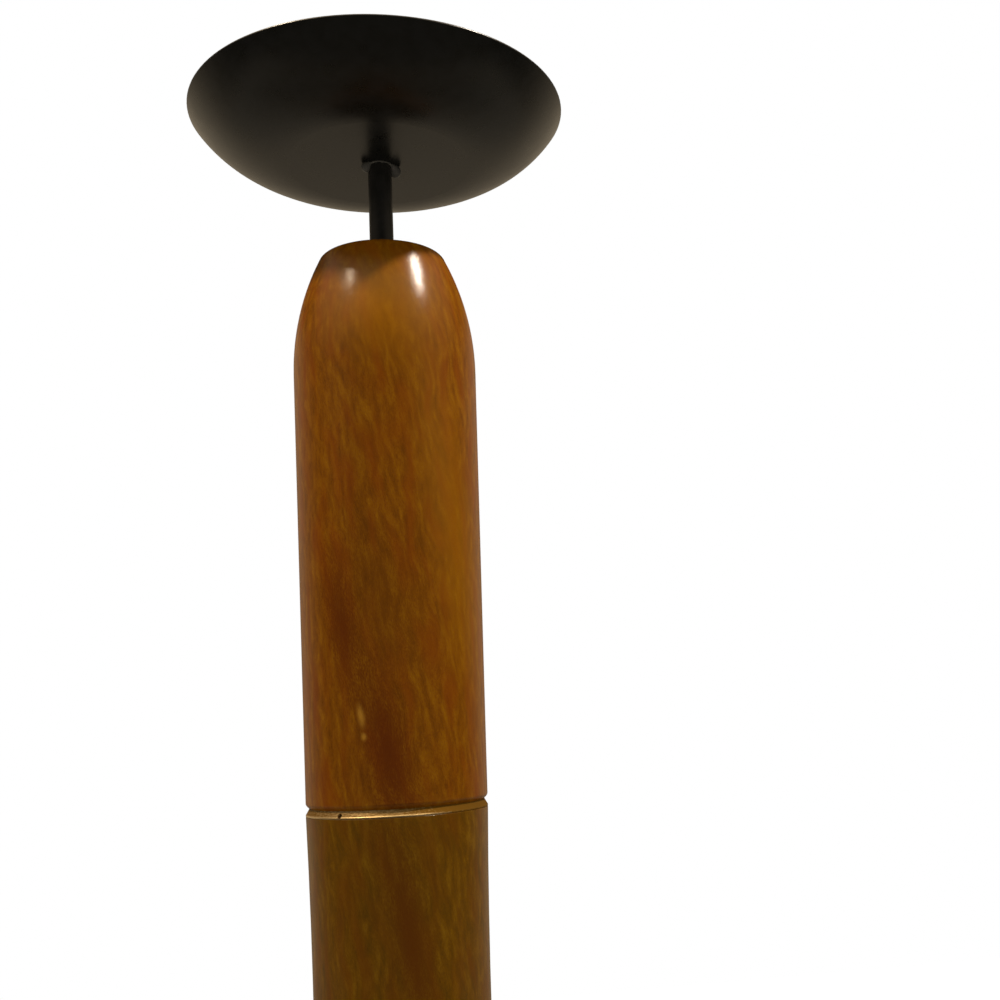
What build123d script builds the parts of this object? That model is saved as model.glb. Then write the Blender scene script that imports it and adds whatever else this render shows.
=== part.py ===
from build123d import *
import os

# Pricket candle stand, in millimetres.
# +Z is up, and the origin is on the floor, on the axis of the column.

# Drip dish: flat floor and one tangent arc up to the rim, pressed from sheet
dish_rim_r = 63.2
dish_floor_r = 31.0
dish_depth = 17.2
dish_sheet = 1.5
dish_rim_round = 0.6

# Pricket rod: stem, shoulder under the dish, tenon through it, spike above it
rod_r = 4.0
rod_bare = 34.4
rod_spigot = 40.0
rod_end_chamfer = 0.8
tenon_r = 3.4
spike_r = 3.0
spike_shank = 8.0
spike_taper = 24.0
spike_tip_r = 0.5

# Fillet weld round the rod
weld_width = 3.4
weld_height = 4.0
weld_bulge = 0.6

# Socket for the rod in the column's top
socket_wall = 2.0
socket_floor = 2.0
socket_clearance = 0.08

# Upper column section
column_r = 28.0
shoulder_r = 29.7
shoulder_h = 137.0
top_r = 20.4
upper_h = 177.2
top_round = 2.0

# V-groove between the sections: wood above, the ring's bevel below
groove_depth = 1.1
groove_upper_h = 1.1
groove_lower_h = 1.9
groove_lip_round = 1.2

# Brass ring and the boss it sits on
ring_lip_h = 0.4
ring_lip_round = 0.15
boss_r = 20.0
boss_end_gap = 0.3
ring_clearance = 0.08
ring_hole_r = 0.75
ring_hole_depth = 2.0
ring_hole_rise = 0.55
ring_hole_angle = -127.4

# Threaded stud and insert that join the sections
stud_r = 5.0
stud_set = 30.0
stud_reach = 24.0
stud_chamfer = 1.0
stud_clearance = 0.08
joint_insert_wall = 3.0
joint_insert_end_room = 4.0
joint_insert_flange_w = 2.5
joint_insert_flange_t = 1.5

# Lower column section, slightly waisted
lower_h = 178.0
waist_r = 26.6
foot_r = 29.5
lower_top_round = 0.3
foot_chamfer = 1.2

# Foot
base_r = 75.0
base_h = 26.0
base_edge_h = 12.0
base_seat_r = 33.0
base_dome_rise = 3.5
base_top_round = 4.0
base_bottom_round = 2.0

# Bolt, washer and insert that hold the column on the foot
bolt_r = 4.0
bolt_length = 35.0
bolt_chamfer = 0.8
bolt_head_r = 6.5
bolt_head_h = 8.0
bolt_hole_clearance = 0.25
hex_key = 6.0
hex_depth = 4.0
washer_r = 12.0
washer_t = 2.0
counterbore_r = 14.0
counterbore_depth = 12.0
base_insert_wall = 2.5
base_insert_length = 22.0
base_insert_clearance = 0.08

# Dowels between the foot and the column
dowel_count = 2
dowel_r = 4.0
dowel_length = 24.0
dowel_circle_r = 17.0
dowel_chamfer = 0.8
dowel_end_room = 0.5

# Felt disc under the foot
felt_t = 2.0
felt_r = 70.0

# Gap round every glued or pressed seat
seat_gap = 0.05

# Heights above the floor
base_z = felt_t
base_top_z = base_z + base_h
lower_top_z = base_top_z + lower_h
ring_h = ring_lip_h + groove_lower_h
upper_z = lower_top_z + ring_h
boss_z = lower_top_z + boss_end_gap
shoulder_z = upper_z + shoulder_h
upper_top_z = upper_z + upper_h
dish_z = upper_top_z + rod_bare
rim_z = dish_z + dish_depth
rod_z = upper_top_z - rod_spigot
shank_z = dish_z + dish_sheet
taper_z = shank_z + spike_shank
tip_z = taper_z + spike_taper
counterbore_z = base_z + counterbore_depth
groove_r = column_r - groove_depth

os.makedirs("parts", exist_ok=True)


with BuildPart() as drip_dish:
    with BuildSketch(Plane.XZ):
        with BuildLine():
            dish_floor = Line((tenon_r + seat_gap, dish_z), (dish_floor_r, dish_z))
            TangentArc(dish_floor @ 1, (dish_rim_r, rim_z), tangent=dish_floor % 1)
            offset(amount=dish_sheet, side=Side.LEFT)
        make_face()
        rim_corners = vertices().sort_by(Axis.X)[-2:]
        fillet(rim_corners, dish_rim_round)
    revolve(axis=Axis.Z)
drip_dish.part.label = "drip_dish"
export_step(drip_dish.part, "parts/drip_dish.step")


with BuildPart() as pricket_rod:
    with BuildSketch(Plane.XZ):
        with BuildLine():
            Polyline(
                (0, rod_z),
                (rod_r - rod_end_chamfer, rod_z),
                (rod_r, rod_z + rod_end_chamfer),
                (rod_r, dish_z),
                (tenon_r, dish_z),
                (tenon_r, shank_z),
                (spike_r, shank_z),
                (spike_r, taper_z),
                (spike_tip_r, tip_z),
                (0, tip_z),
                close=True,
            )
        make_face()
    revolve(axis=Axis.Z)
pricket_rod.part.label = "pricket_rod"
export_step(pricket_rod.part, "parts/pricket_rod.step")


weld_root = Vector(rod_r + seat_gap, dish_z)
weld_foot = weld_root - Vector(0, weld_height)
weld_edge = weld_root + Vector(weld_width, 0)
weld_middle = (weld_foot + weld_edge) / 2 + Vector(weld_bulge, -weld_bulge)
with BuildPart() as weld_bead:
    with BuildSketch(Plane.XZ):
        with BuildLine():
            ThreePointArc(weld_foot, weld_middle, weld_edge)
            Polyline(weld_edge, weld_root, weld_foot)
        make_face()
    revolve(axis=Axis.Z)
weld_bead.part.label = "weld_bead"
export_step(weld_bead.part, "parts/weld_bead.step")


socket_r = rod_r + socket_clearance + socket_wall
socket_h = rod_spigot + socket_floor
with BuildPart() as stem_socket:
    with BuildSketch(Plane.XY.offset(upper_top_z - socket_h)):
        Circle(socket_r)
    extrude(amount=socket_h)
    with Locations((0, 0, upper_top_z)):
        Hole(rod_r + socket_clearance, rod_spigot)
stem_socket.part.label = "stem_socket"
export_step(stem_socket.part, "parts/stem_socket.step")


lip_edge = Vector(column_r, upper_z + groove_upper_h)
top_edge = Vector(top_r, upper_top_z)
with BuildPart() as upper_column:
    with BuildSketch(Plane.XZ):
        with BuildLine():
            boss = Polyline(
                (0, upper_top_z),
                (0, boss_z),
                (boss_r, boss_z),
                (boss_r, upper_z),
                (groove_r, upper_z),
                lip_edge,
            )
            side = Line(lip_edge, (shoulder_r, shoulder_z))
            TangentArc(side @ 1, top_edge, tangent=side % 1)
            Line(top_edge, boss @ 0)
        make_face()
        fillet(vertices().sort_by_distance(lip_edge)[0], groove_lip_round)
        fillet(vertices().sort_by_distance(top_edge)[0], top_round)
    revolve(axis=Axis.Z)
    with Locations((0, 0, upper_top_z)):
        Hole(socket_r + seat_gap, socket_h)
    with Locations(Plane((0, 0, boss_z), z_dir=(0, 0, -1))):
        Hole(stud_r + seat_gap, stud_set)
upper_column.part.label = "upper_column"
export_step(upper_column.part, "parts/upper_column.step")


lip_top_z = lower_top_z + ring_lip_h
ring_bore_r = boss_r + ring_clearance
hole_side = Vector(1, 0, 0).rotate(Axis.Z, ring_hole_angle)
hole_mouth = hole_side * column_r + Vector(0, 0, lip_top_z + ring_hole_rise)
with BuildPart() as brass_ring:
    with BuildSketch(Plane.XZ):
        with BuildLine():
            Polyline(
                (ring_bore_r, lower_top_z),
                (column_r, lower_top_z),
                (column_r, lip_top_z),
                (groove_r, upper_z),
                (ring_bore_r, upper_z),
                close=True,
            )
        make_face()
        fillet(vertices().group_by(Axis.X)[-1], ring_lip_round)
    revolve(axis=Axis.Z)
    with Locations(Plane(hole_mouth, z_dir=hole_side)):
        Hole(ring_hole_r, ring_hole_depth)
brass_ring.part.label = "brass_ring"
export_step(brass_ring.part, "parts/brass_ring.step")


stud_z = lower_top_z - stud_reach
stud_length = boss_z + stud_set - stud_z
with BuildPart() as joint_stud:
    with BuildSketch(Plane.XY.offset(stud_z)):
        Circle(stud_r)
    extrude(amount=stud_length)
    chamfer(edges().filter_by(GeomType.CIRCLE), stud_chamfer)
joint_stud.part.label = "joint_stud"
export_step(joint_stud.part, "parts/joint_stud.step")


joint_bore_r = stud_r + stud_clearance
joint_insert_r = joint_bore_r + joint_insert_wall
joint_flange_r = joint_insert_r + joint_insert_flange_w
joint_insert_h = stud_reach + joint_insert_end_room
with BuildPart() as joint_insert:
    with BuildSketch(Plane.XY.offset(lower_top_z)):
        Circle(joint_insert_r)
    extrude(amount=-joint_insert_h)
    with BuildSketch(Plane.XY.offset(lower_top_z)):
        Circle(joint_flange_r)
    extrude(amount=-joint_insert_flange_t)
    with Locations((0, 0, lower_top_z)):
        Hole(joint_bore_r)
joint_insert.part.label = "joint_insert"
export_step(joint_insert.part, "parts/joint_insert.step")


base_bore_r = bolt_r + base_insert_clearance
base_insert_r = base_bore_r + base_insert_wall
with BuildPart() as base_insert:
    with BuildSketch(Plane.XY.offset(base_top_z)):
        Circle(base_insert_r)
        Circle(base_bore_r, mode=Mode.SUBTRACT)
    extrude(amount=base_insert_length)
base_insert.part.label = "base_insert"
export_step(base_insert.part, "parts/base_insert.step")


dowel_hole_r = dowel_r + seat_gap
dowel_hole_depth = dowel_length / 2 + dowel_end_room
joint_edge = Vector(column_r, lower_top_z)
waist = Vector(waist_r, base_top_z + lower_h / 2)
foot_edge = Vector(foot_r, base_top_z)
with BuildPart() as lower_column:
    with BuildSketch(Plane.XZ):
        with BuildLine():
            ThreePointArc(joint_edge, waist, foot_edge)
            Polyline(foot_edge, (0, base_top_z), (0, lower_top_z), joint_edge)
        make_face()
        fillet(vertices().sort_by_distance(joint_edge)[0], lower_top_round)
        chamfer(vertices().sort_by_distance(foot_edge)[0], foot_chamfer)
    revolve(axis=Axis.Z)
    with Locations((0, 0, lower_top_z)):
        CounterBoreHole(
            joint_insert_r + seat_gap,
            joint_flange_r + seat_gap,
            joint_insert_flange_t,
            joint_insert_h,
        )
    with Locations(Plane((0, 0, base_top_z), z_dir=(0, 0, -1))):
        Hole(base_insert_r + seat_gap, base_insert_length)
        with PolarLocations(dowel_circle_r, dowel_count):
            Hole(dowel_hole_r, dowel_hole_depth)
lower_column.part.label = "lower_column"
export_step(lower_column.part, "parts/lower_column.step")


bolt_hole_r = bolt_r + bolt_hole_clearance
bottom_edge = Vector(base_r, base_z)
dome_edge = bottom_edge + Vector(0, base_edge_h)
dome_top = Vector(base_seat_r, base_top_z)
dome_middle = (dome_edge + dome_top) / 2 + Vector(0, base_dome_rise)
with BuildPart() as base_disc:
    with BuildSketch(Plane.XZ):
        with BuildLine():
            ThreePointArc(dome_edge, dome_middle, dome_top)
            Polyline(dome_top, (0, base_top_z), (0, base_z), bottom_edge, dome_edge)
        make_face()
        fillet(vertices().sort_by_distance(dome_edge)[0], base_top_round)
        fillet(vertices().sort_by_distance(bottom_edge)[0], base_bottom_round)
    revolve(axis=Axis.Z)
    with Locations(Plane((0, 0, base_z), z_dir=(0, 0, -1))):
        CounterBoreHole(bolt_hole_r, counterbore_r, counterbore_depth)
    with Locations(Plane.XY.offset(base_top_z)):
        with PolarLocations(dowel_circle_r, dowel_count):
            Hole(dowel_hole_r, dowel_hole_depth)
base_disc.part.label = "base_disc"
export_step(base_disc.part, "parts/base_disc.step")


with BuildPart() as base_washer:
    with BuildSketch(Plane.XY.offset(counterbore_z)):
        Circle(washer_r)
        Circle(bolt_hole_r, mode=Mode.SUBTRACT)
    extrude(amount=-washer_t)
base_washer.part.label = "base_washer"
export_step(base_washer.part, "parts/base_washer.step")


head_top_z = counterbore_z - washer_t
head_z = head_top_z - bolt_head_h
with BuildPart() as base_bolt:
    with BuildSketch(Plane.XY.offset(head_z)):
        Circle(bolt_head_r)
    extrude(amount=bolt_head_h)
    with BuildSketch(Plane.XY.offset(head_top_z)):
        Circle(bolt_r)
    extrude(amount=bolt_length)
    chamfer(edges().group_by(Axis.Z)[-1], bolt_chamfer)
    with BuildSketch(Plane.XY.offset(head_z)):
        RegularPolygon(hex_key / 2, 6, major_radius=False)
    extrude(amount=hex_depth, mode=Mode.SUBTRACT)
base_bolt.part.label = "base_bolt"
export_step(base_bolt.part, "parts/base_bolt.step")


with PolarLocations(dowel_circle_r, dowel_count) as dowel_places:
    dowel_centres = [place.position for place in dowel_places.locations]
for number, centre in enumerate(dowel_centres, start=1):
    with BuildPart() as base_dowel:
        with BuildSketch(Plane.XY.offset(base_top_z - dowel_length / 2)):
            with Locations(centre):
                Circle(dowel_r)
        extrude(amount=dowel_length)
        chamfer(edges().filter_by(GeomType.CIRCLE), dowel_chamfer)
    base_dowel.part.label = f"base_dowel_{number}"
    export_step(base_dowel.part, f"parts/base_dowel_{number}.step")


with BuildPart() as base_felt:
    with BuildSketch():
        Circle(felt_r)
    extrude(amount=felt_t)
base_felt.part.label = "base_felt"
export_step(base_felt.part, "parts/base_felt.step")
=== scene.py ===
import math

import bpy
import numpy as np
from mathutils import Matrix, Vector


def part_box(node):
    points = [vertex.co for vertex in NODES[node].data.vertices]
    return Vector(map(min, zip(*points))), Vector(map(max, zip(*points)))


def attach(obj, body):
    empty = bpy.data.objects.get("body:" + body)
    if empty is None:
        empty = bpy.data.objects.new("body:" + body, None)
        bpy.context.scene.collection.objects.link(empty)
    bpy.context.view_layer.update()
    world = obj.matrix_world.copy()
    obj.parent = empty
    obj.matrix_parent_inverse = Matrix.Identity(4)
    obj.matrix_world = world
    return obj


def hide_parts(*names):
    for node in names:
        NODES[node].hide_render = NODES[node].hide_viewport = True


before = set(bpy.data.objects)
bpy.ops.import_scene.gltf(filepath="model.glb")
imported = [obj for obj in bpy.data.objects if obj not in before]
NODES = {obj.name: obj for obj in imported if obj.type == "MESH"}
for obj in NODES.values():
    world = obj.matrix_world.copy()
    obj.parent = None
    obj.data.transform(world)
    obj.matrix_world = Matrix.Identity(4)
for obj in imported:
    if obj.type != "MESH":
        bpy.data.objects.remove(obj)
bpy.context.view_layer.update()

bl_info = {
    "name": "Pricket candle stand",
    "version": (1, 0, 0),
    "blender": (4, 5, 0),
    "location": "View3D > Sidebar > Candle stand",
    "description": "Finishes, weld, threads and felt for a turned pricket candle stand, with its stage",
    "category": "Object",
}

MM = 0.001
DISH_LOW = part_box("drip_dish")[0]
ROD_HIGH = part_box("pricket_rod")[1]
STUD_LOW, STUD_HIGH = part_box("joint_stud")
UPPER_LOW, UPPER_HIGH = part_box("upper_column")
RING_LOW, RING_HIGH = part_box("brass_ring")
FELT_LOW, FELT_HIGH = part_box("base_felt")
# Each lamp's angles to the right of the front and above the floor, in degrees, and its width and depth
RIGHT_LAMP = (66.0, 50.5)
RIGHT_LAMP_SIZE = (0.024, 0.024)
LEFT_LAMP = (-66.0, 55.3)
LEFT_LAMP_SIZE = (0.075, 0.04)
LAMP_DISTANCE = 0.6


def linear(hex_colour):
    """An sRGB hex colour as a linear RGBA tuple, by the sRGB curve."""
    digits = hex_colour.lstrip("#")
    coded = np.array([int(digits[i : i + 2], 16) for i in (0, 2, 4)]) / 255.0
    light = np.where(coded <= 0.04045, coded / 12.92, ((coded + 0.055) / 1.055) ** 2.4)
    return (*light.tolist(), 1.0)


def node(tree, kind, inputs=None, stops=None, **settings):
    """Adds a shader node. inputs maps sockets to values or to sockets to link, stops fills a colour ramp."""
    made = tree.nodes.new(kind)
    for name, value in settings.items():
        setattr(made, name, value)
    for socket, value in (inputs or {}).items():
        if isinstance(value, bpy.types.NodeSocket):
            tree.links.new(value, made.inputs[socket])
        else:
            made.inputs[socket].default_value = value
    if stops:
        ramp = made.color_ramp.elements
        while len(ramp) < len(stops):
            ramp.new(1.0)
        for element, (place, colour) in zip(ramp, stops):
            element.position = place
            element.color = linear(colour)
    return made


def mix_colour(tree, share, first, second):
    """A colour that goes from first to second as share goes from 0 to 1."""
    return node(tree, "ShaderNodeMix", {0: share, 6: first, 7: second}, data_type="RGBA").outputs[2]


def new_material(name, **surface):
    """A material with one Principled shader, whose constant sockets are set from surface."""
    material = bpy.data.materials.new(name)
    material.use_nodes = True
    tree = material.node_tree
    shader = tree.nodes["Principled BSDF"]
    for socket, value in surface.items():
        shader.inputs[socket.replace("_", " ").title().replace("Ior", "IOR")].default_value = value
    return material, tree, shader


def grain_space(tree, size_mm, turn=(0.0, 0.0, 0.0), shift=None):
    """Object coordinates counted in steps of size_mm along X, Y and Z, after a turn in radians."""
    place = node(tree, "ShaderNodeTexCoord").outputs["Object"]
    if shift is not None:
        place = node(tree, "ShaderNodeVectorMath", {0: place, 1: shift}, operation="ADD").outputs[0]
    turned = node(tree, "ShaderNodeMapping", {"Vector": place, "Rotation": turn}).outputs[0]
    steps = tuple(1.0 / (size * MM) for size in size_mm)
    return node(tree, "ShaderNodeMapping", {"Vector": turned, "Scale": steps}).outputs[0]


def figure(tree, centre_mm, size_mm, ragged, lean):
    """1 at a mark in the wood, fading to 0 at size_mm from its centre on each axis, with a ragged edge."""
    back = tuple(-value * MM for value in centre_mm)
    reach = node(
        tree, "ShaderNodeVectorMath", {0: grain_space(tree, size_mm, lean, back)}, operation="LENGTH"
    ).outputs["Value"]
    reach = node(tree, "ShaderNodeMath", {0: ragged, 1: 0.8, 2: reach}, operation="MULTIPLY_ADD").outputs[0]
    return node(
        tree,
        "ShaderNodeMapRange",
        {"Value": reach, "From Min": 0.4, "From Max": 1.4, "To Min": 1.0, "To Max": 0.0},
        interpolation_type="SMOOTHSTEP",
    ).outputs[0]


def lacquered_wood(name, wood, dark, middle, light, red, grain, seed_mm, marks):
    """Turned hardwood under brushed clear lacquer.

    The eye sees long fine fibres that lean a little, short dark pores, slow drifts from honey to
    red-brown, a few marks, and a gloss whose small ripples break up the highlights. grain is the angle of
    the fibres from upright.
    """
    material, tree, shader = new_material(
        name,
        roughness=0.28,
        specular_ior_level=0.0,
        coat_weight=wood.lacquer,
        coat_roughness=wood.lacquer_roughness,
        coat_ior=1.5,
    )
    lean = (0.0, grain, 0.0)
    start = tuple(value * MM for value in seed_mm)

    slow_space = grain_space(tree, (45, 45, 80), lean, start)
    slow = node(tree, "ShaderNodeTexNoise", {"Vector": slow_space, "Detail": 1.0})
    wander = node(
        tree, "ShaderNodeVectorMath", {0: slow.outputs["Color"], 1: (0.5, 0.5, 0.5)}, operation="SUBTRACT"
    ).outputs[0]
    drift = tuple(value * MM for value in (5.0, 5.0, 0.0))
    bend = node(tree, "ShaderNodeVectorMath", {0: wander, 1: drift}, operation="MULTIPLY").outputs[0]
    bend = node(tree, "ShaderNodeVectorMath", {0: bend, 1: start}, operation="ADD").outputs[0]

    def fibres(size_mm, detail, roughness):
        space = grain_space(tree, size_mm, lean, bend)
        made = node(tree, "ShaderNodeTexNoise", {"Vector": space, "Detail": detail, "Roughness": roughness})
        return made.outputs["Fac"]

    broad = fibres((9, 9, 40), 2.0, 0.5)
    streak = fibres((wood.streak_width / MM, wood.streak_width / MM, 5.5), 2.0, 0.6)
    fine = fibres((0.6, 0.6, 2.6), 1.0, 0.5)
    red_zone = fibres((19, 19, 85), 0.0, 0.5)
    pores = fibres((wood.pore_width / MM, wood.pore_width / MM, 4), 1.0, 0.5)

    tone = node(tree, "ShaderNodeMath", {0: broad, 1: 0.62}, operation="MULTIPLY").outputs[0]
    tone = node(tree, "ShaderNodeMath", {0: streak, 1: 0.36, 2: tone}, operation="MULTIPLY_ADD").outputs[0]
    tone = node(tree, "ShaderNodeMath", {0: fine, 1: 0.12, 2: tone}, operation="MULTIPLY_ADD").outputs[0]
    colour = node(
        tree, "ShaderNodeValToRGB", {"Fac": tone}, stops=[(0.35, dark), (0.55, middle), (0.75, light)]
    ).outputs["Color"]
    redness = node(
        tree, "ShaderNodeMapRange", {"Value": red_zone, "From Min": 0.44, "From Max": 0.76, "To Max": 0.55}
    ).outputs[0]
    colour = mix_colour(tree, redness, colour, linear(red))
    for centre_mm, size_mm, hue, strength in marks:
        mark = figure(tree, centre_mm, size_mm, streak, lean)
        mark = node(tree, "ShaderNodeMath", {0: mark, 1: strength}, operation="MULTIPLY").outputs[0]
        colour = mix_colour(tree, mark, colour, linear(hue))
    pitting = node(
        tree, "ShaderNodeMapRange", {"Value": pores, "From Min": 0.58, "From Max": 0.72, "To Max": 0.3}
    ).outputs[0]
    colour = mix_colour(tree, pitting, colour, linear(wood.pore))
    tree.links.new(colour, shader.inputs["Base Color"])

    ripple_mm = wood.ripple / MM
    ripple_space = grain_space(tree, (2.0 * ripple_mm, 2.0 * ripple_mm, ripple_mm), shift=start)
    ripple = node(tree, "ShaderNodeTexNoise", {"Vector": ripple_space, "Detail": 0.0}).outputs["Fac"]
    relief = node(
        tree, "ShaderNodeBump", {"Height": ripple, "Strength": 1.0, "Distance": wood.ripple_depth}
    ).outputs[0]
    tree.links.new(relief, shader.inputs["Coat Normal"])
    return material


def black_paint(name, paint, dark, pale, roughness, ripple_mm, depth_mm):
    """Sprayed satin-matt black enamel on steel: almost no colour, a blurred sheen and a faint orange peel."""
    material, tree, shader = new_material(name, ior=paint.ior)
    cloud_space = grain_space(tree, (22, 22, 22))
    cloud = node(tree, "ShaderNodeTexNoise", {"Vector": cloud_space, "Detail": 3.0}).outputs["Fac"]
    colour = node(
        tree, "ShaderNodeValToRGB", {"Fac": cloud}, stops=[(0.35, dark), (0.65, pale)]
    ).outputs["Color"]
    tree.links.new(colour, shader.inputs["Base Color"])
    rough = node(
        tree,
        "ShaderNodeMapRange",
        {"Value": cloud, "To Min": roughness - 0.05, "To Max": roughness + 0.05},
    ).outputs[0]
    tree.links.new(rough, shader.inputs["Roughness"])
    peel_space = grain_space(tree, (ripple_mm,) * 3)
    peel = node(tree, "ShaderNodeTexNoise", {"Vector": peel_space, "Detail": 2.0}).outputs["Fac"]
    relief = node(tree, "ShaderNodeBump", {"Height": peel, "Distance": depth_mm * MM}).outputs[0]
    tree.links.new(relief, shader.inputs["Normal"])
    return material


def turned_brass(name, metal, polish_and_highlight_z):
    """Brass turned on a lathe: yellow metal with fine tool rings, dulled by an olive-brown film of tarnish.

    Below the bright edge's height it is bright, partly from polish and partly as a painted highlight, which
    is strongest to the left of the front and fades to tarnish towards the sides.
    """
    material, tree, shader = new_material(name, specular_ior_level=0.0)
    film_space = grain_space(tree, (4, 4, 1.5))
    patches = node(
        tree, "ShaderNodeTexNoise", {"Vector": film_space, "Detail": 4.0, "Roughness": 0.65}
    ).outputs["Fac"]
    place = node(tree, "ShaderNodeTexCoord").outputs["Object"]
    along = node(tree, "ShaderNodeSeparateXYZ", {"Vector": place}).outputs
    soft_edge = 0.2 * MM
    polish_and_highlight = node(
        tree,
        "ShaderNodeMapRange",
        {
            "Value": along["Z"],
            "From Min": polish_and_highlight_z + soft_edge,
            "From Max": polish_and_highlight_z - soft_edge,
            "To Min": 0.2,
            "To Max": 0.8,
        },
    ).outputs[0]
    # Painted highlight: the bright edge is brightest about 11 mm left of the front and dims towards the
    # sides.
    aside = node(tree, "ShaderNodeMath", {0: along["X"], 1: 11.0 * MM}, operation="ADD").outputs[0]
    aside = node(tree, "ShaderNodeMath", {0: aside}, operation="ABSOLUTE").outputs[0]
    painted_highlight_side = node(
        tree,
        "ShaderNodeMapRange",
        {"Value": aside, "From Min": 5.0 * MM, "From Max": 28.0 * MM, "To Min": 1.0, "To Max": 0.1},
    ).outputs[0]
    polish_and_highlight = node(tree, "ShaderNodeMath", {0: polish_and_highlight, 1: painted_highlight_side}, operation="MULTIPLY").outputs[0]
    shine = node(tree, "ShaderNodeMath", {0: patches, 1: 0.5, 2: polish_and_highlight}, operation="MULTIPLY_ADD").outputs[0]
    colour = node(
        tree, "ShaderNodeValToRGB", {"Fac": shine}, stops=[(0.35, metal.tarnish), (0.95, metal.brass)]
    ).outputs["Color"]
    tree.links.new(colour, shader.inputs["Base Color"])
    bare = node(
        tree, "ShaderNodeMapRange", {"Value": shine, "From Min": 0.35, "From Max": 0.85, "To Min": 0.15}
    ).outputs[0]
    tree.links.new(bare, shader.inputs["Metallic"])
    rough = node(tree, "ShaderNodeMapRange", {"Value": shine, "To Min": 0.6, "To Max": 0.36}).outputs[0]
    tree.links.new(rough, shader.inputs["Roughness"])
    tool_rings = node(
        tree, "ShaderNodeTexNoise", {"Vector": grain_space(tree, (30, 30, 0.18)), "Detail": 1.0}
    ).outputs["Fac"]
    relief = node(tree, "ShaderNodeBump", {"Height": tool_rings, "Distance": 0.01 * MM}).outputs[0]
    tree.links.new(relief, shader.inputs["Normal"])
    return material


def zinc_steel(name, metal):
    """Zinc plate on steel: grey metal under a dull film, cloudy in patches and a little rough."""
    material, tree, shader = new_material(name, metallic=0.7)
    cloud_space = grain_space(tree, (3, 3, 3))
    cloud = node(tree, "ShaderNodeTexNoise", {"Vector": cloud_space, "Detail": 4.0}).outputs["Fac"]
    colour = node(
        tree, "ShaderNodeValToRGB", {"Fac": cloud}, stops=[(0.35, metal.zinc_dark), (0.65, metal.zinc)]
    ).outputs["Color"]
    tree.links.new(colour, shader.inputs["Base Color"])
    rough = node(tree, "ShaderNodeMapRange", {"Value": cloud, "To Min": 0.28, "To Max": 0.45}).outputs[0]
    tree.links.new(rough, shader.inputs["Roughness"])
    return material


def plain_beech(name, wood):
    """Unfinished beech dowel: pale, matt, with short brown flecks along the grain."""
    material, tree, shader = new_material(name, roughness=0.7)
    fleck = node(
        tree, "ShaderNodeTexNoise", {"Vector": grain_space(tree, (0.5, 0.5, 3)), "Detail": 2.0}
    ).outputs["Fac"]
    colour = node(
        tree, "ShaderNodeValToRGB", {"Fac": fleck}, stops=[(0.35, wood.beech_fleck), (0.55, wood.beech)]
    ).outputs["Color"]
    tree.links.new(colour, shader.inputs["Base Color"])
    return material


def wool_felt(name, felt):
    """Pressed wool felt: matt, mottled by matted fibres, with a soft sheen at its edge."""
    material, tree, shader = new_material(name, roughness=0.95, sheen_weight=0.4, sheen_roughness=0.5)
    mat_space = grain_space(tree, (0.6, 0.6, 0.6))
    mat = node(
        tree, "ShaderNodeTexNoise", {"Vector": mat_space, "Detail": 5.0, "Roughness": 0.7}
    ).outputs["Fac"]
    colour = node(
        tree, "ShaderNodeValToRGB", {"Fac": mat}, stops=[(0.35, felt.dark), (0.65, felt.pale)]
    ).outputs["Color"]
    tree.links.new(colour, shader.inputs["Base Color"])
    relief = node(tree, "ShaderNodeBump", {"Height": mat, "Distance": 0.2 * MM}).outputs[0]
    tree.links.new(relief, shader.inputs["Normal"])
    return material


def dress(material, *names):
    """Gives CAD nodes, which keep their own meshes, a finish in their material slot."""
    for name in names:
        NODES[name].material_slots[0].material = material


def add_piece(name, points, faces, material, body, replaced):
    """A mesh piece with smooth shading that rides on a body and stands for a CAD node."""
    mesh = bpy.data.meshes.new(name)
    mesh.from_pydata(points.tolist(), [], faces)
    mesh.validate()
    mesh.shade_smooth()
    piece = bpy.data.objects.new(name, mesh)
    bpy.context.scene.collection.objects.link(piece)
    mesh.materials.append(material)
    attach(piece, body)
    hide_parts(replaced)
    return piece


def ring_faces(rows, columns, wrap_rows):
    """Quads of a grid that closes round its columns, and round its rows too where wrap_rows is set."""
    last = rows if wrap_rows else rows - 1
    row, column = np.meshgrid(np.arange(last), np.arange(columns), indexing="ij")
    above = (row + 1) % rows
    beside = (column + 1) % columns
    corners = [
        row * columns + column,
        row * columns + beside,
        above * columns + beside,
        above * columns + column,
    ]
    return np.stack(corners, axis=-1).reshape(-1, 4)


def round_solid(radius, height):
    """Points and faces of a closed round solid from grids of radius and height.

    Rows run from the bottom up and columns go once round: x = r cos a, y = r sin a. One point on the
    axis closes each end with a fan.
    """
    rows, columns = radius.shape
    angle = np.linspace(0.0, 2.0 * np.pi, columns, endpoint=False)
    skin = np.stack([radius * np.cos(angle), radius * np.sin(angle), height], axis=-1).reshape(-1, 3)
    ends = np.array([[0.0, 0.0, height[0].mean()], [0.0, 0.0, height[-1].mean()]])
    column = np.arange(columns)
    beside = (column + 1) % columns
    bottom = np.stack([np.full(columns, rows * columns), beside, column], axis=-1)
    top = (rows - 1) * columns + np.stack([np.full(columns, columns + 1), column, beside], axis=-1)
    faces = ring_faces(rows, columns, False).tolist() + bottom.tolist() + top.tolist()
    return np.concatenate([skin, ends]), faces


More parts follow.
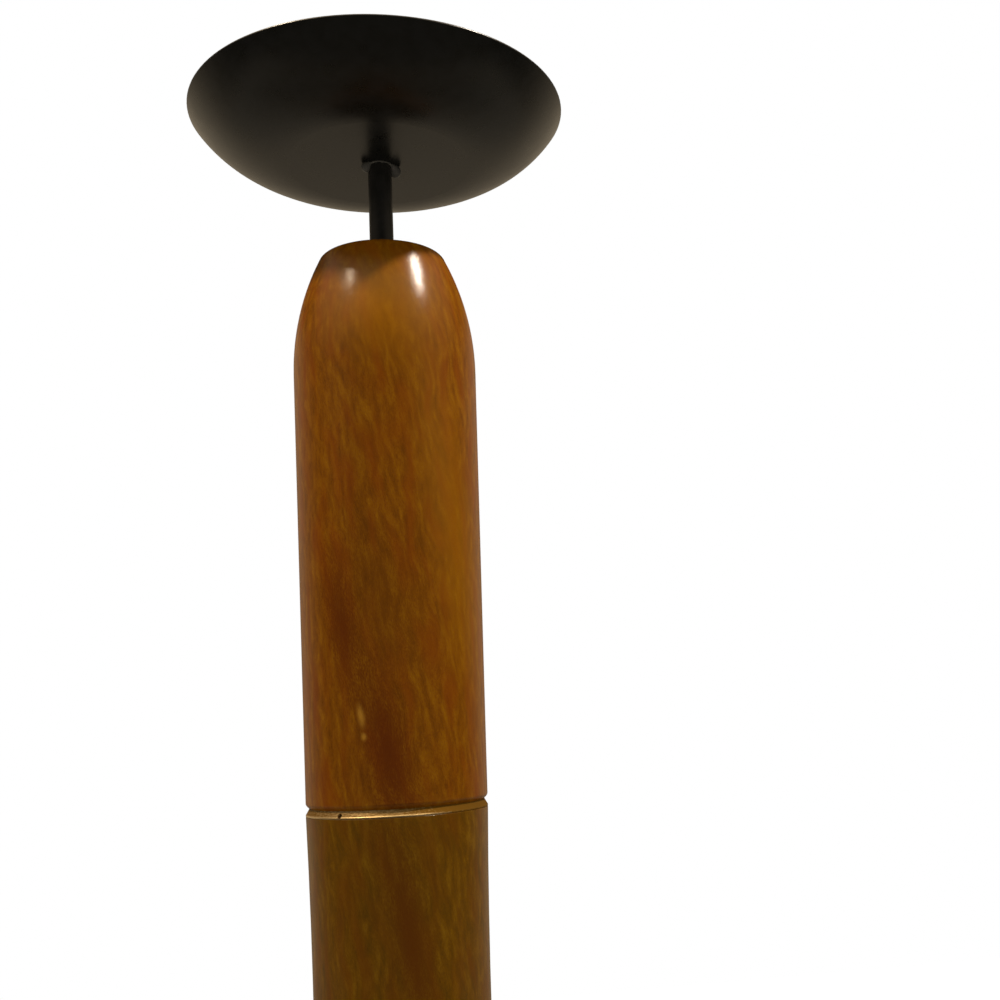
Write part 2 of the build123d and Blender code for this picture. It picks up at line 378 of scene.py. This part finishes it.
class WoodSettings(bpy.types.PropertyGroup):
    """Colours and grain of the turned wood."""

    upper_dark: bpy.props.StringProperty(
        name="Upper dark", description="Dark fibres of the upper section, sRGB", default="#562F02"
    )
    upper_middle: bpy.props.StringProperty(
        name="Upper middle", description="Main colour of the upper section, sRGB", default="#6A3C02"
    )
    upper_light: bpy.props.StringProperty(
        name="Upper light", description="Pale fibres of the upper section, sRGB", default="#7D4F03"
    )
    upper_red: bpy.props.StringProperty(
        name="Upper red", description="Redder zones of the upper section, sRGB", default="#6C3202"
    )
    upper_heart: bpy.props.StringProperty(
        name="Upper heart",
        description="Dark red-brown streaks of the upper section, sRGB",
        default="#502202",
    )
    lower_dark: bpy.props.StringProperty(
        name="Lower dark", description="Dark fibres of the lower section, sRGB", default="#483004"
    )
    lower_middle: bpy.props.StringProperty(
        name="Lower middle", description="Main colour of the lower section, sRGB", default="#5A3902"
    )
    lower_light: bpy.props.StringProperty(
        name="Lower light", description="Pale fibres of the lower section, sRGB", default="#6B4905"
    )
    lower_red: bpy.props.StringProperty(
        name="Lower red", description="Redder zones of the lower section, sRGB", default="#5A3002"
    )
    lower_heart: bpy.props.StringProperty(
        name="Lower heart",
        description="Dark red-brown streak of the lower section, sRGB",
        default="#4F2902",
    )
    fleck: bpy.props.StringProperty(name="Fleck", description="Pale fleck, sRGB", default="#96681C")
    pore: bpy.props.StringProperty(name="Pore", description="Open pores, sRGB", default="#3A1C03")
    beech: bpy.props.StringProperty(name="Beech", description="Dowel wood, sRGB", default="#CDA878")
    beech_fleck: bpy.props.StringProperty(
        name="Beech fleck", description="Flecks in the dowel wood, sRGB", default="#9A6F42"
    )
    grain_lean: bpy.props.FloatProperty(
        name="Grain lean",
        description="How far the fibres lean from upright",
        default=math.radians(10.0),
        subtype="ANGLE",
        unit="ROTATION",
    )
    streak_width: bpy.props.FloatProperty(
        name="Streak width",
        description="Width of the main fibres",
        default=1.2 * MM,
        unit="LENGTH",
        precision=5,
    )
    pore_width: bpy.props.FloatProperty(
        name="Pore width",
        description="Width of a pore, drawn coarser than life so that it shows",
        default=0.45 * MM,
        unit="LENGTH",
        precision=5,
    )
    lacquer: bpy.props.FloatProperty(
        name="Lacquer", description="How much the lacquer covers", default=0.4, min=0.0, max=1.0
    )
    lacquer_roughness: bpy.props.FloatProperty(
        name="Lacquer roughness", description="Roughness of the lacquer", default=0.19, min=0.0, max=1.0
    )
    ripple: bpy.props.FloatProperty(
        name="Lacquer ripple",
        description="Spacing of the ripples left by turning",
        default=0.9 * MM,
        unit="LENGTH",
        precision=5,
    )
    ripple_depth: bpy.props.FloatProperty(
        name="Ripple depth",
        description="Depth of those ripples",
        default=0.03 * MM,
        unit="LENGTH",
        precision=6,
    )


class PaintSettings(bpy.types.PropertyGroup):
    """Black paint of the dish, the rod and the weld."""

    dark: bpy.props.StringProperty(
        name="Paint", description="Main colour of the paint, sRGB", default="#100F0B"
    )
    pale: bpy.props.StringProperty(
        name="Paint bloom", description="Duller patches, sRGB", default="#141310"
    )
    # The rod's colours are the dish's black painted paler: painted light on the rod.
    rod_dark: bpy.props.StringProperty(
        name="Rod paint", description="Paint of the rod, painted paler for the light on it, sRGB", default="#191712"
    )
    rod_pale: bpy.props.StringProperty(
        name="Rod paint bloom", description="Duller patches of the rod, sRGB", default="#211E19"
    )
    # The weld's colours are the black paint made grey: painted reflection of the bright surroundings the
    # lumps mirror.
    weld_dark: bpy.props.StringProperty(
        name="Weld paint", description="Paint on the weld, sRGB", default="#3A3730"
    )
    weld_pale: bpy.props.StringProperty(
        name="Weld paint bloom", description="Duller patches of the weld, sRGB", default="#4C473E"
    )
    roughness: bpy.props.FloatProperty(
        name="Roughness", description="Blur of the dish's sheen", default=0.29, min=0.0, max=1.0
    )
    rod_roughness: bpy.props.FloatProperty(
        name="Rod roughness", description="Blur of the sheen on the rod", default=0.4, min=0.0, max=1.0
    )
    weld_roughness: bpy.props.FloatProperty(
        name="Weld roughness", description="Blur of the sheen on the weld", default=0.3, min=0.0, max=1.0
    )
    ior: bpy.props.FloatProperty(
        name="IOR", description="Refraction of the paint", default=1.34, min=1.0, max=2.0
    )


class MetalSettings(bpy.types.PropertyGroup):
    """Bare metals."""

    brass: bpy.props.StringProperty(name="Brass", description="Bright brass, sRGB", default="#E2C48F")
    tarnish: bpy.props.StringProperty(
        name="Tarnish", description="Tarnished brass, sRGB", default="#5E4012"
    )
    # Height of the ring's bright edge, which is partly polish and partly painted highlight.
    polish_and_highlight: bpy.props.FloatProperty(
        name="Polished and highlit edge",
        description="Height of the ring's bright edge",
        default=0.55 * MM,
        unit="LENGTH",
        precision=5,
    )
    zinc: bpy.props.StringProperty(name="Zinc", description="Zinc plate, sRGB", default="#B4B6B8")
    zinc_dark: bpy.props.StringProperty(
        name="Zinc dark", description="Dull zinc, sRGB", default="#85888B"
    )
    thread_pitch: bpy.props.FloatProperty(
        name="Thread pitch",
        description="Rise of the stud's thread a turn",
        default=1.5 * MM,
        unit="LENGTH",
        precision=5,
    )
    thread_depth: bpy.props.FloatProperty(
        name="Thread depth",
        description="Depth of the stud's thread",
        default=0.85 * MM,
        unit="LENGTH",
        precision=5,
    )


class WeldSettings(bpy.types.PropertyGroup):
    """Weld bead between the rod and the dish."""

    width: bpy.props.FloatProperty(
        name="Width",
        description="Reach of the bead from the rod",
        default=4.0 * MM,
        unit="LENGTH",
        precision=5,
    )
    height: bpy.props.FloatProperty(
        name="Height",
        description="Reach of the bead down the rod",
        default=4.1 * MM,
        unit="LENGTH",
        precision=5,
    )
    lump: bpy.props.FloatProperty(
        name="Lump", description="Swell of the tack on each side", default=0.85, min=0.0, max=1.0
    )


class FeltSettings(bpy.types.PropertyGroup):
    """Felt under the foot."""

    dark: bpy.props.StringProperty(name="Felt dark", description="Deep fibres, sRGB", default="#1B1F19")
    pale: bpy.props.StringProperty(name="Felt", description="Surface fibres, sRGB", default="#30362C")
    fray: bpy.props.FloatProperty(
        name="Fray",
        description="Unevenness of the cut edge",
        default=0.25 * MM,
        unit="LENGTH",
        precision=5,
    )


class StageSettings(bpy.types.PropertyGroup):
    """Floor, lamps and camera."""

    floor: bpy.props.StringProperty(name="Floor", description="Pale floor, sRGB", default="#CFCFCD")
    floor_near: bpy.props.StringProperty(
        name="Near floor",
        description="The floor near the stand as the gloss mirrors it, sRGB",
        default="#6E675B",
    )
    floor_far: bpy.props.StringProperty(
        name="Far floor",
        description="The floor further off as the gloss mirrors it, sRGB",
        default="#A09A8E",
    )
    floor_glow: bpy.props.FloatProperty(
        name="Floor glow",
        description="Light added to the floor far from the stand",
        default=0.65,
        min=0.0,
    )
    room: bpy.props.StringProperty(
        name="Room", description="What the gloss mirrors, sRGB", default="#FFE9C6"
    )
    ambient: bpy.props.FloatProperty(
        name="Ambient", description="Light from all round", default=0.58, min=0.0
    )
    lamp_colour: bpy.props.StringProperty(
        name="Lamps", description="Warm white lamps, sRGB", default="#FFF2DF"
    )
    right_lamp: bpy.props.FloatProperty(name="Right lamp", description="Power", default=5.9, unit="POWER")
    left_lamp: bpy.props.FloatProperty(name="Left lamp", description="Power", default=4.6, unit="POWER")
    right_glow: bpy.props.FloatProperty(
        name="Right glow",
        description="Brightness that the gloss mirrors round the right lamp",
        default=0.9,
        min=0.0,
    )
    left_glow: bpy.props.FloatProperty(
        name="Left glow",
        description="Brightness that the gloss mirrors round the left lamp",
        default=1.0,
        min=0.0,
    )
    lens: bpy.props.FloatProperty(
        name="Focal length", description="Camera lens", default=43.13, subtype="DISTANCE_CAMERA"
    )


class StandOperator:
    """Shared settings of the stand's operators."""

    bl_options = {"REGISTER", "UNDO"}


class STAND_OT_metalwork(StandOperator, bpy.types.Operator):
    """Paints the dish and the rod black"""

    bl_idname = "stand.metalwork"
    bl_label = "Painted metalwork"

    def execute(self, context):
        paint = context.scene.stand_paint
        peel_mm, depth_mm = 0.9, 0.006
        satin = black_paint(
            "satin black enamel", paint, paint.dark, paint.pale, paint.roughness, peel_mm, depth_mm
        )
        # The rod gets a paler copy of the black paint: painted light, standing for the light the rod catches.
        paler_rod_paint = black_paint(
            "black enamel painted paler for light", paint, paint.rod_dark, paint.rod_pale, paint.rod_roughness, peel_mm, depth_mm
        )
        dress(satin, "drip_dish")
        dress(paler_rod_paint, "pricket_rod")
        return {"FINISHED"}


class STAND_OT_weld(StandOperator, bpy.types.Operator):
    """Lays the lumpy weld bead where the rod meets the dish"""

    bl_idname = "stand.weld"
    bl_label = "Weld bead"

    def execute(self, context):
        weld = context.scene.stand_weld
        paint = context.scene.stand_paint
        points, faces = weld_surface(weld)
        peel_mm, depth_mm = 0.6, 0.03
        # Pale copy of the black paint: painted reflection on the weld lumps.
        material = black_paint(
            "black enamel on weld painted grey for reflection",
            paint,
            paint.weld_dark,
            paint.weld_pale,
            paint.weld_roughness,
            peel_mm,
            depth_mm,
        )
        add_piece("weld_metal", points, faces, material, "pricket", "weld_bead")
        return {"FINISHED"}


def weld_surface(weld):
    """A closed tube round the rod, under the dish.

    Its section is an ellipse, r = rod + 0.28 w + 0.52 w cos t and z = dish - 0.42 h + 0.55 h sin t, so that
    it sinks into both metals. Its w and h are the bead's width and height times a swell, which has ripples
    round the rod and a bell-shaped lump at the tack on each side.
    """
    columns, rows = 160, 28
    angle = np.linspace(0.0, 2.0 * np.pi, columns, endpoint=False)
    around = np.linspace(0.0, 2.0 * np.pi, rows, endpoint=False)[:, None]

    def bell(centre, spread):
        away = (angle - centre + np.pi) % (2.0 * np.pi) - np.pi
        return np.exp(-((away / spread) ** 2))

    ripples = 0.03 * np.sin(9.0 * angle + 0.7) + 0.02 * np.sin(17.0 * angle)
    right_tack = bell(math.radians(6.0), 0.36)
    left_tack = 0.8 * bell(math.radians(203.0), 0.32)
    swell = 0.12 + ripples + weld.lump * (right_tack + left_tack)
    rod_r = ROD_HIGH.x
    reach = weld.width * swell
    drop = weld.height * swell
    radius = rod_r + 0.28 * reach + 0.52 * reach * np.cos(around)
    height = DISH_LOW.z - 0.42 * drop + 0.55 * drop * np.sin(around)
    points = np.stack([radius * np.cos(angle), radius * np.sin(angle), height], axis=-1).reshape(-1, 3)
    return points, ring_faces(rows, columns, True).tolist()


class STAND_OT_woodwork(StandOperator, bpy.types.Operator):
    """Finishes the turned sections, the foot and the dowels"""

    bl_idname = "stand.woodwork"
    bl_label = "Turned wood"

    def execute(self, context):
        wood = context.scene.stand_wood
        joint = UPPER_LOW.z / MM
        upper = lacquered_wood(
            "lacquered hardwood upper",
            wood,
            wood.upper_dark,
            wood.upper_middle,
            wood.upper_light,
            wood.upper_red,
            wood.grain_lean,
            (13.0, 47.0, 5.0),
            [
                # Paler wood on the front of the shoulder, partly painted light: it brightens the dish's shade
                # on the top and paints the sheen round the highlights.
                ((0.0, -22.0, joint + 156.0), (26.0, 22.0, 26.0), wood.upper_light, 0.75),
                ((19.0, -20.0, joint + 85.0), (13.0, 16.0, 95.0), wood.upper_light, 0.55),
                ((-3.0, -28.0, joint + 62.0), (14.0, 12.0, 40.0), wood.upper_dark, 0.5),
                ((-2.0, -28.0, joint + 18.0), (10.0, 9.0, 38.0), wood.upper_heart, 0.95),
                ((-15.0, -24.0, joint + 56.0), (8.0, 9.0, 36.0), wood.upper_heart, 0.85),
                ((-9.9, -26.0, joint + 29.0), (1.6, 4.0, 5.0), wood.fleck, 0.95),
                ((-9.2, -26.0, joint + 23.0), (1.3, 3.0, 1.8), wood.fleck, 1.0),
            ],
        )
        lower = lacquered_wood(
            "lacquered hardwood lower",
            wood,
            wood.lower_dark,
            wood.lower_middle,
            wood.lower_light,
            wood.lower_red,
            wood.grain_lean,
            (71.0, 29.0, 163.0),
            [((2.5, -27.0, joint - 34.0), (8.0, 10.0, 50.0), wood.lower_heart, 1.0)],
        )
        foot = lacquered_wood(
            "lacquered hardwood foot",
            wood,
            wood.lower_dark,
            wood.lower_middle,
            wood.lower_light,
            wood.lower_red,
            math.radians(90.0),
            (37.0, 11.0, 53.0),
            [],
        )
        dress(upper, "upper_column")
        dress(lower, "lower_column")
        dress(foot, "base_disc")
        dress(plain_beech("unfinished beech", wood), "base_dowel_1", "base_dowel_2")
        return {"FINISHED"}


class STAND_OT_fittings(StandOperator, bpy.types.Operator):
    """Finishes the brass ring and inserts, and cuts the stud's thread"""

    bl_idname = "stand.fittings"
    bl_label = "Brass and steel fittings"

    def execute(self, context):
        metal = context.scene.stand_metal
        zinc = zinc_steel("dull zinc plate", metal)
        # The ring's bright edge, partly polish and partly painted highlight, ends at this height.
        polish_and_highlight_z = RING_LOW.z + metal.polish_and_highlight
        dress(turned_brass("turned brass", metal, polish_and_highlight_z), "brass_ring", "joint_insert", "base_insert")
        dress(zinc, "stem_socket", "base_bolt", "base_washer")
        points, faces = thread_surface(metal)
        add_piece("threaded_stud", points, faces, zinc, "column", "joint_stud")
        return {"FINISHED"}


def thread_surface(metal):
    """The stud's right-hand thread: r = R - depth v, with v a clipped triangle wave of z / pitch - a / 2 pi.

    The radius is also held under a cone at each end, which gives the stud its chamfers.
    """
    columns = 64
    steps_a_turn = 10
    stud_r = STUD_HIGH.x
    length = STUD_HIGH.z - STUD_LOW.z
    rows = int(length / metal.thread_pitch * steps_a_turn) + 1
    angle = np.linspace(0.0, 2.0 * np.pi, columns, endpoint=False)
    rise = np.linspace(0.0, length, rows)[:, None]
    phase = (rise / metal.thread_pitch - angle / (2.0 * np.pi)) % 1.0
    wave = np.clip(1.3 * (1.0 - np.abs(2.0 * phase - 1.0)) - 0.15, 0.0, 1.0)
    cone = stud_r - 1.2 * MM + np.minimum(rise, length - rise)
    radius = np.minimum(stud_r - metal.thread_depth * wave, cone)
    return round_solid(radius, STUD_LOW.z + rise + 0.0 * angle)


class STAND_OT_felt(StandOperator, bpy.types.Operator):
    """Cuts the felt disc under the foot"""

    bl_idname = "stand.felt"
    bl_label = "Felt"

    def execute(self, context):
        felt = context.scene.stand_felt
        points, faces = felt_surface(felt)
        piece = add_piece(
            "felt_disc", points, faces, wool_felt("pressed wool felt", felt), "stand", "base_felt"
        )
        return {"FINISHED"}


def felt_surface(felt):
    """A flat disc with rounded, slightly uneven edges.

    The edge's radius falls off as a quarter circle at top and bottom, and a sum of sines round the disc
    stands for the shears' unevenness.
    """
    columns = 360
    disc_r = FELT_HIGH.x
    thick = FELT_HIGH.z - FELT_LOW.z
    angle = np.linspace(0.0, 2.0 * np.pi, columns, endpoint=False)
    uneven = np.sin(5.0 * angle) + 0.6 * np.sin(23.0 * angle + 1.0) + 0.4 * np.sin(71.0 * angle + 2.0)
    edge_r = disc_r - felt.fray * (1.0 + 0.5 * uneven)
    bend = np.linspace(0.0, 0.5 * np.pi, 6)
    corner = 0.35 * thick
    inset = np.concatenate(
        [[disc_r], corner * (1.0 - np.sin(bend)), corner * (1.0 - np.cos(bend)), [disc_r]]
    )
    rise = np.concatenate(
        [[0.0], corner * (1.0 - np.cos(bend)), thick - corner * (1.0 - np.sin(bend)), [thick]]
    )
    radius = np.maximum(edge_r - inset[:, None], 0.05 * disc_r)
    return round_solid(radius, FELT_LOW.z + rise[:, None] + 0.0 * angle)


class STAND_OT_stage(StandOperator, bpy.types.Operator):
    """Sets the pale floor, the lamps, the white surroundings and the camera"""

    bl_idname = "stand.stage"
    bl_label = "Stage"

    def execute(self, context):
        stage = context.scene.stand_stage
        context.scene.view_settings.view_transform = "Standard"
        lay_floor(stage)
        light_world(stage)
        hang_lamps(stage)
        place_camera(stage)
        return {"FINISHED"}


def seen_ray(tree):
    """The ray's path, and 1 where it was mirrored or refracted."""
    path = node(tree, "ShaderNodeLightPath").outputs
    either = {0: path["Is Glossy Ray"], 1: path["Is Transmission Ray"]}
    mirrored = node(tree, "ShaderNodeMath", either, operation="MAXIMUM").outputs[0]
    return path, mirrored


def lay_floor(stage):
    """A floor of matt paint as wide as the shadows, which glows white towards its edge."""
    left, right, front, back = -0.65, 0.65, -0.12, 0.65
    corners = [(left, front, 0.0), (right, front, 0.0), (right, back, 0.0), (left, back, 0.0)]
    mesh = bpy.data.meshes.new("floor")
    mesh.from_pydata(corners, [], [(0, 1, 2, 3)])
    floor = bpy.data.objects.new("floor", mesh)
    bpy.context.scene.collection.objects.link(floor)
    material, tree, shader = new_material("matt floor paint", roughness=1.0, specular_ior_level=0.0)
    path, mirrored = seen_ray(tree)
    place = node(tree, "ShaderNodeTexCoord").outputs["Object"]
    away = node(tree, "ShaderNodeVectorMath", {0: place}, operation="LENGTH").outputs["Value"]
    far_off = node(tree, "ShaderNodeMapRange", {"Value": away, "From Min": 0.25, "From Max": 0.5}).outputs[0]
    pale, near, far = linear(stage.floor), linear(stage.floor_near), linear(stage.floor_far)
    dim = mix_colour(tree, far_off, near, far)
    colour = mix_colour(tree, mirrored, pale, dim)
    tree.links.new(colour, shader.inputs["Base Color"])
    glow = node(
        tree,
        "ShaderNodeMapRange",
        {"Value": away, "From Min": 0.1, "From Max": 0.6, "To Min": 0.2, "To Max": stage.floor_glow},
    ).outputs[0]
    glow = node(tree, "ShaderNodeMath", {0: glow, 1: path["Is Camera Ray"]}, operation="MULTIPLY").outputs[0]
    shader.inputs["Emission Color"].default_value = (1.0, 1.0, 1.0, 1.0)
    tree.links.new(glow, shader.inputs["Emission Strength"])
    mesh.materials.append(material)


def light_world(stage):
    """White surroundings for the camera.

    The gloss mirrors a dim warm room instead: a paler wall behind, a little dimmer in its middle, a lit
    ceiling, a dark front and a soft glow round each lamp.
    """
    world = bpy.data.worlds.new("studio")
    bpy.context.scene.world = world
    world.use_nodes = True
    tree = world.node_tree
    background = tree.nodes["Background"]
    path, mirrored = seen_ray(tree)
    way = node(tree, "ShaderNodeTexCoord").outputs["Generated"]
    side = node(tree, "ShaderNodeSeparateXYZ", {"Vector": way}).outputs
    backdrop = node(
        tree,
        "ShaderNodeMapRange",
        {"Value": side["Y"], "From Min": 0.1, "From Max": 0.72, "To Min": 0.03, "To Max": 0.66},
    ).outputs[0]
    above_floor = node(
        tree, "ShaderNodeMapRange", {"Value": side["Z"], "From Min": -0.4, "From Max": -0.22, "To Min": 0.63}
    ).outputs[0]
    below_top = node(
        tree, "ShaderNodeMapRange", {"Value": side["Z"], "From Min": 0.42, "From Max": 0.34, "To Min": 0.1}
    ).outputs[0]
    straight_behind = node(
        tree,
        "ShaderNodeMapRange",
        {"Value": side["Y"], "From Min": 0.86, "From Max": 0.94, "To Min": 1.0, "To Max": 0.7},
    ).outputs[0]
    lit_wall = node(tree, "ShaderNodeMath", {0: above_floor, 1: below_top}, operation="MINIMUM").outputs[0]
    lit_wall = node(
        tree, "ShaderNodeMath", {0: lit_wall, 1: straight_behind}, operation="MINIMUM"
    ).outputs[0]
    backdrop = node(tree, "ShaderNodeMath", {0: backdrop, 1: lit_wall}, operation="MULTIPLY").outputs[0]
    ceiling = node(
        tree, "ShaderNodeMapRange", {"Value": side["Z"], "From Min": 0.55, "From Max": 0.85, "To Max": 0.85}
    ).outputs[0]
    room = node(tree, "ShaderNodeMath", {0: backdrop, 1: ceiling}, operation="MAXIMUM").outputs[0]
    for toward, glow in ((lamp_way(RIGHT_LAMP), stage.right_glow), (lamp_way(LEFT_LAMP), stage.left_glow)):
        near = node(
            tree, "ShaderNodeVectorMath", {0: way, 1: toward}, operation="DOT_PRODUCT"
        ).outputs["Value"]
        lit = node(
            tree, "ShaderNodeMapRange", {"Value": near, "From Min": 0.71, "From Max": 0.98, "To Max": glow}
        ).outputs[0]
        room = node(tree, "ShaderNodeMath", {0: room, 1: lit}, operation="ADD").outputs[0]
    ground = node(
        tree, "ShaderNodeMapRange", {"Value": side["Z"], "From Min": -0.35, "From Max": -0.6, "To Max": 0.1}
    ).outputs[0]
    room = node(tree, "ShaderNodeMath", {0: room, 1: ground}, operation="MAXIMUM").outputs[0]
    level = node(
        tree, "ShaderNodeMix", {0: mirrored, 2: stage.ambient, 3: room}, data_type="FLOAT"
    ).outputs[0]
    level = node(
        tree, "ShaderNodeMix", {0: path["Is Camera Ray"], 2: level, 3: 1.0}, data_type="FLOAT"
    ).outputs[0]
    tree.links.new(level, background.inputs["Strength"])
    white = (1.0, 1.0, 1.0, 1.0)
    tint = mix_colour(tree, mirrored, white, linear(stage.room))
    tree.links.new(tint, background.inputs["Color"])


def lamp_way(angles):
    """The direction to a lamp from its angles to the right of the front and above the floor, in degrees."""
    aside, height = (math.radians(angle) for angle in angles)
    flat = math.cos(height)
    return Vector((math.sin(aside) * flat, -math.cos(aside) * flat, math.sin(height)))


def hang_lamps(stage):
    """Two small lamps high to the right and left, which throw the dish's shadow on the column's top."""
    aim = Vector((0.0, 0.0, UPPER_HIGH.z))
    lamps = [
        ("right_lamp", RIGHT_LAMP, RIGHT_LAMP_SIZE, stage.right_lamp, stage.lamp_colour),
        ("left_lamp", LEFT_LAMP, LEFT_LAMP_SIZE, stage.left_lamp, stage.room),
    ]
    for name, angles, size, power, colour in lamps:
        light = bpy.data.lights.new(name, "AREA")
        light.shape = "ELLIPSE"
        light.size, light.size_y = size
        light.energy = power
        light.color = linear(colour)[:3]
        lamp = bpy.data.objects.new(name, light)
        toward = lamp_way(angles)
        facing = toward.to_track_quat("Z", "Y").to_matrix().to_4x4()
        lamp.matrix_world = Matrix.Translation(aim + LAMP_DISTANCE * toward) @ facing
        bpy.context.scene.collection.objects.link(lamp)


def place_camera(stage):
    """The photograph's camera: close below the dish, turned, tilted up and rolled a little."""
    yaw, pitch, roll = 0.1438, 0.1723, -0.0532
    ahead = Vector((math.sin(yaw) * math.cos(pitch), math.cos(yaw) * math.cos(pitch), math.sin(pitch)))
    level = Vector((math.cos(yaw), -math.sin(yaw), 0.0))
    above = level.cross(ahead)
    right = math.cos(roll) * level + math.sin(roll) * above
    up = math.cos(roll) * above - math.sin(roll) * level
    distance, rise = 386.9 * MM, 26.09 * MM
    spot = Vector((0.0, -distance, RING_HIGH.z + rise))
    lens = bpy.data.cameras.new("camera")
    lens.lens = stage.lens
    lens.sensor_width = 36.0
    lens.shift_x = -0.06
    camera = bpy.data.objects.new("camera", lens)
    camera.matrix_world = Matrix.Translation(spot) @ Matrix((right, up, -ahead)).transposed().to_4x4()
    bpy.context.scene.collection.objects.link(camera)
    bpy.context.scene.camera = camera


class STAND_PT_panel(bpy.types.Panel):
    """Lists the stand's operators"""

    bl_label = "Candle stand"
    bl_idname = "STAND_PT_panel"
    bl_space_type = "VIEW_3D"
    bl_region_type = "UI"
    bl_category = "Candle stand"

    def draw(self, context):
        for operator in OPERATORS:
            self.layout.operator(operator.bl_idname)


GROUPS = {
    "stand_wood": WoodSettings,
    "stand_paint": PaintSettings,
    "stand_metal": MetalSettings,
    "stand_weld": WeldSettings,
    "stand_felt": FeltSettings,
    "stand_stage": StageSettings,
}
OPERATORS = (
    STAND_OT_metalwork,
    STAND_OT_weld,
    STAND_OT_woodwork,
    STAND_OT_fittings,
    STAND_OT_felt,
    STAND_OT_stage,
)


def register():
    for name, group in GROUPS.items():
        bpy.utils.register_class(group)
        setattr(bpy.types.Scene, name, bpy.props.PointerProperty(type=group))
    for operator in OPERATORS:
        bpy.utils.register_class(operator)
    bpy.utils.register_class(STAND_PT_panel)


def unregister():
    bpy.utils.unregister_class(STAND_PT_panel)
    for operator in reversed(OPERATORS):
        bpy.utils.unregister_class(operator)
    for name, group in reversed(GROUPS.items()):
        delattr(bpy.types.Scene, name)
        bpy.utils.unregister_class(group)


def main():
    register()
    bpy.ops.stand.metalwork()
    bpy.ops.stand.weld()
    bpy.ops.stand.woodwork()
    bpy.ops.stand.fittings()
    bpy.ops.stand.felt()
    bpy.ops.stand.stage()


if __name__ == "__main__":
    main()
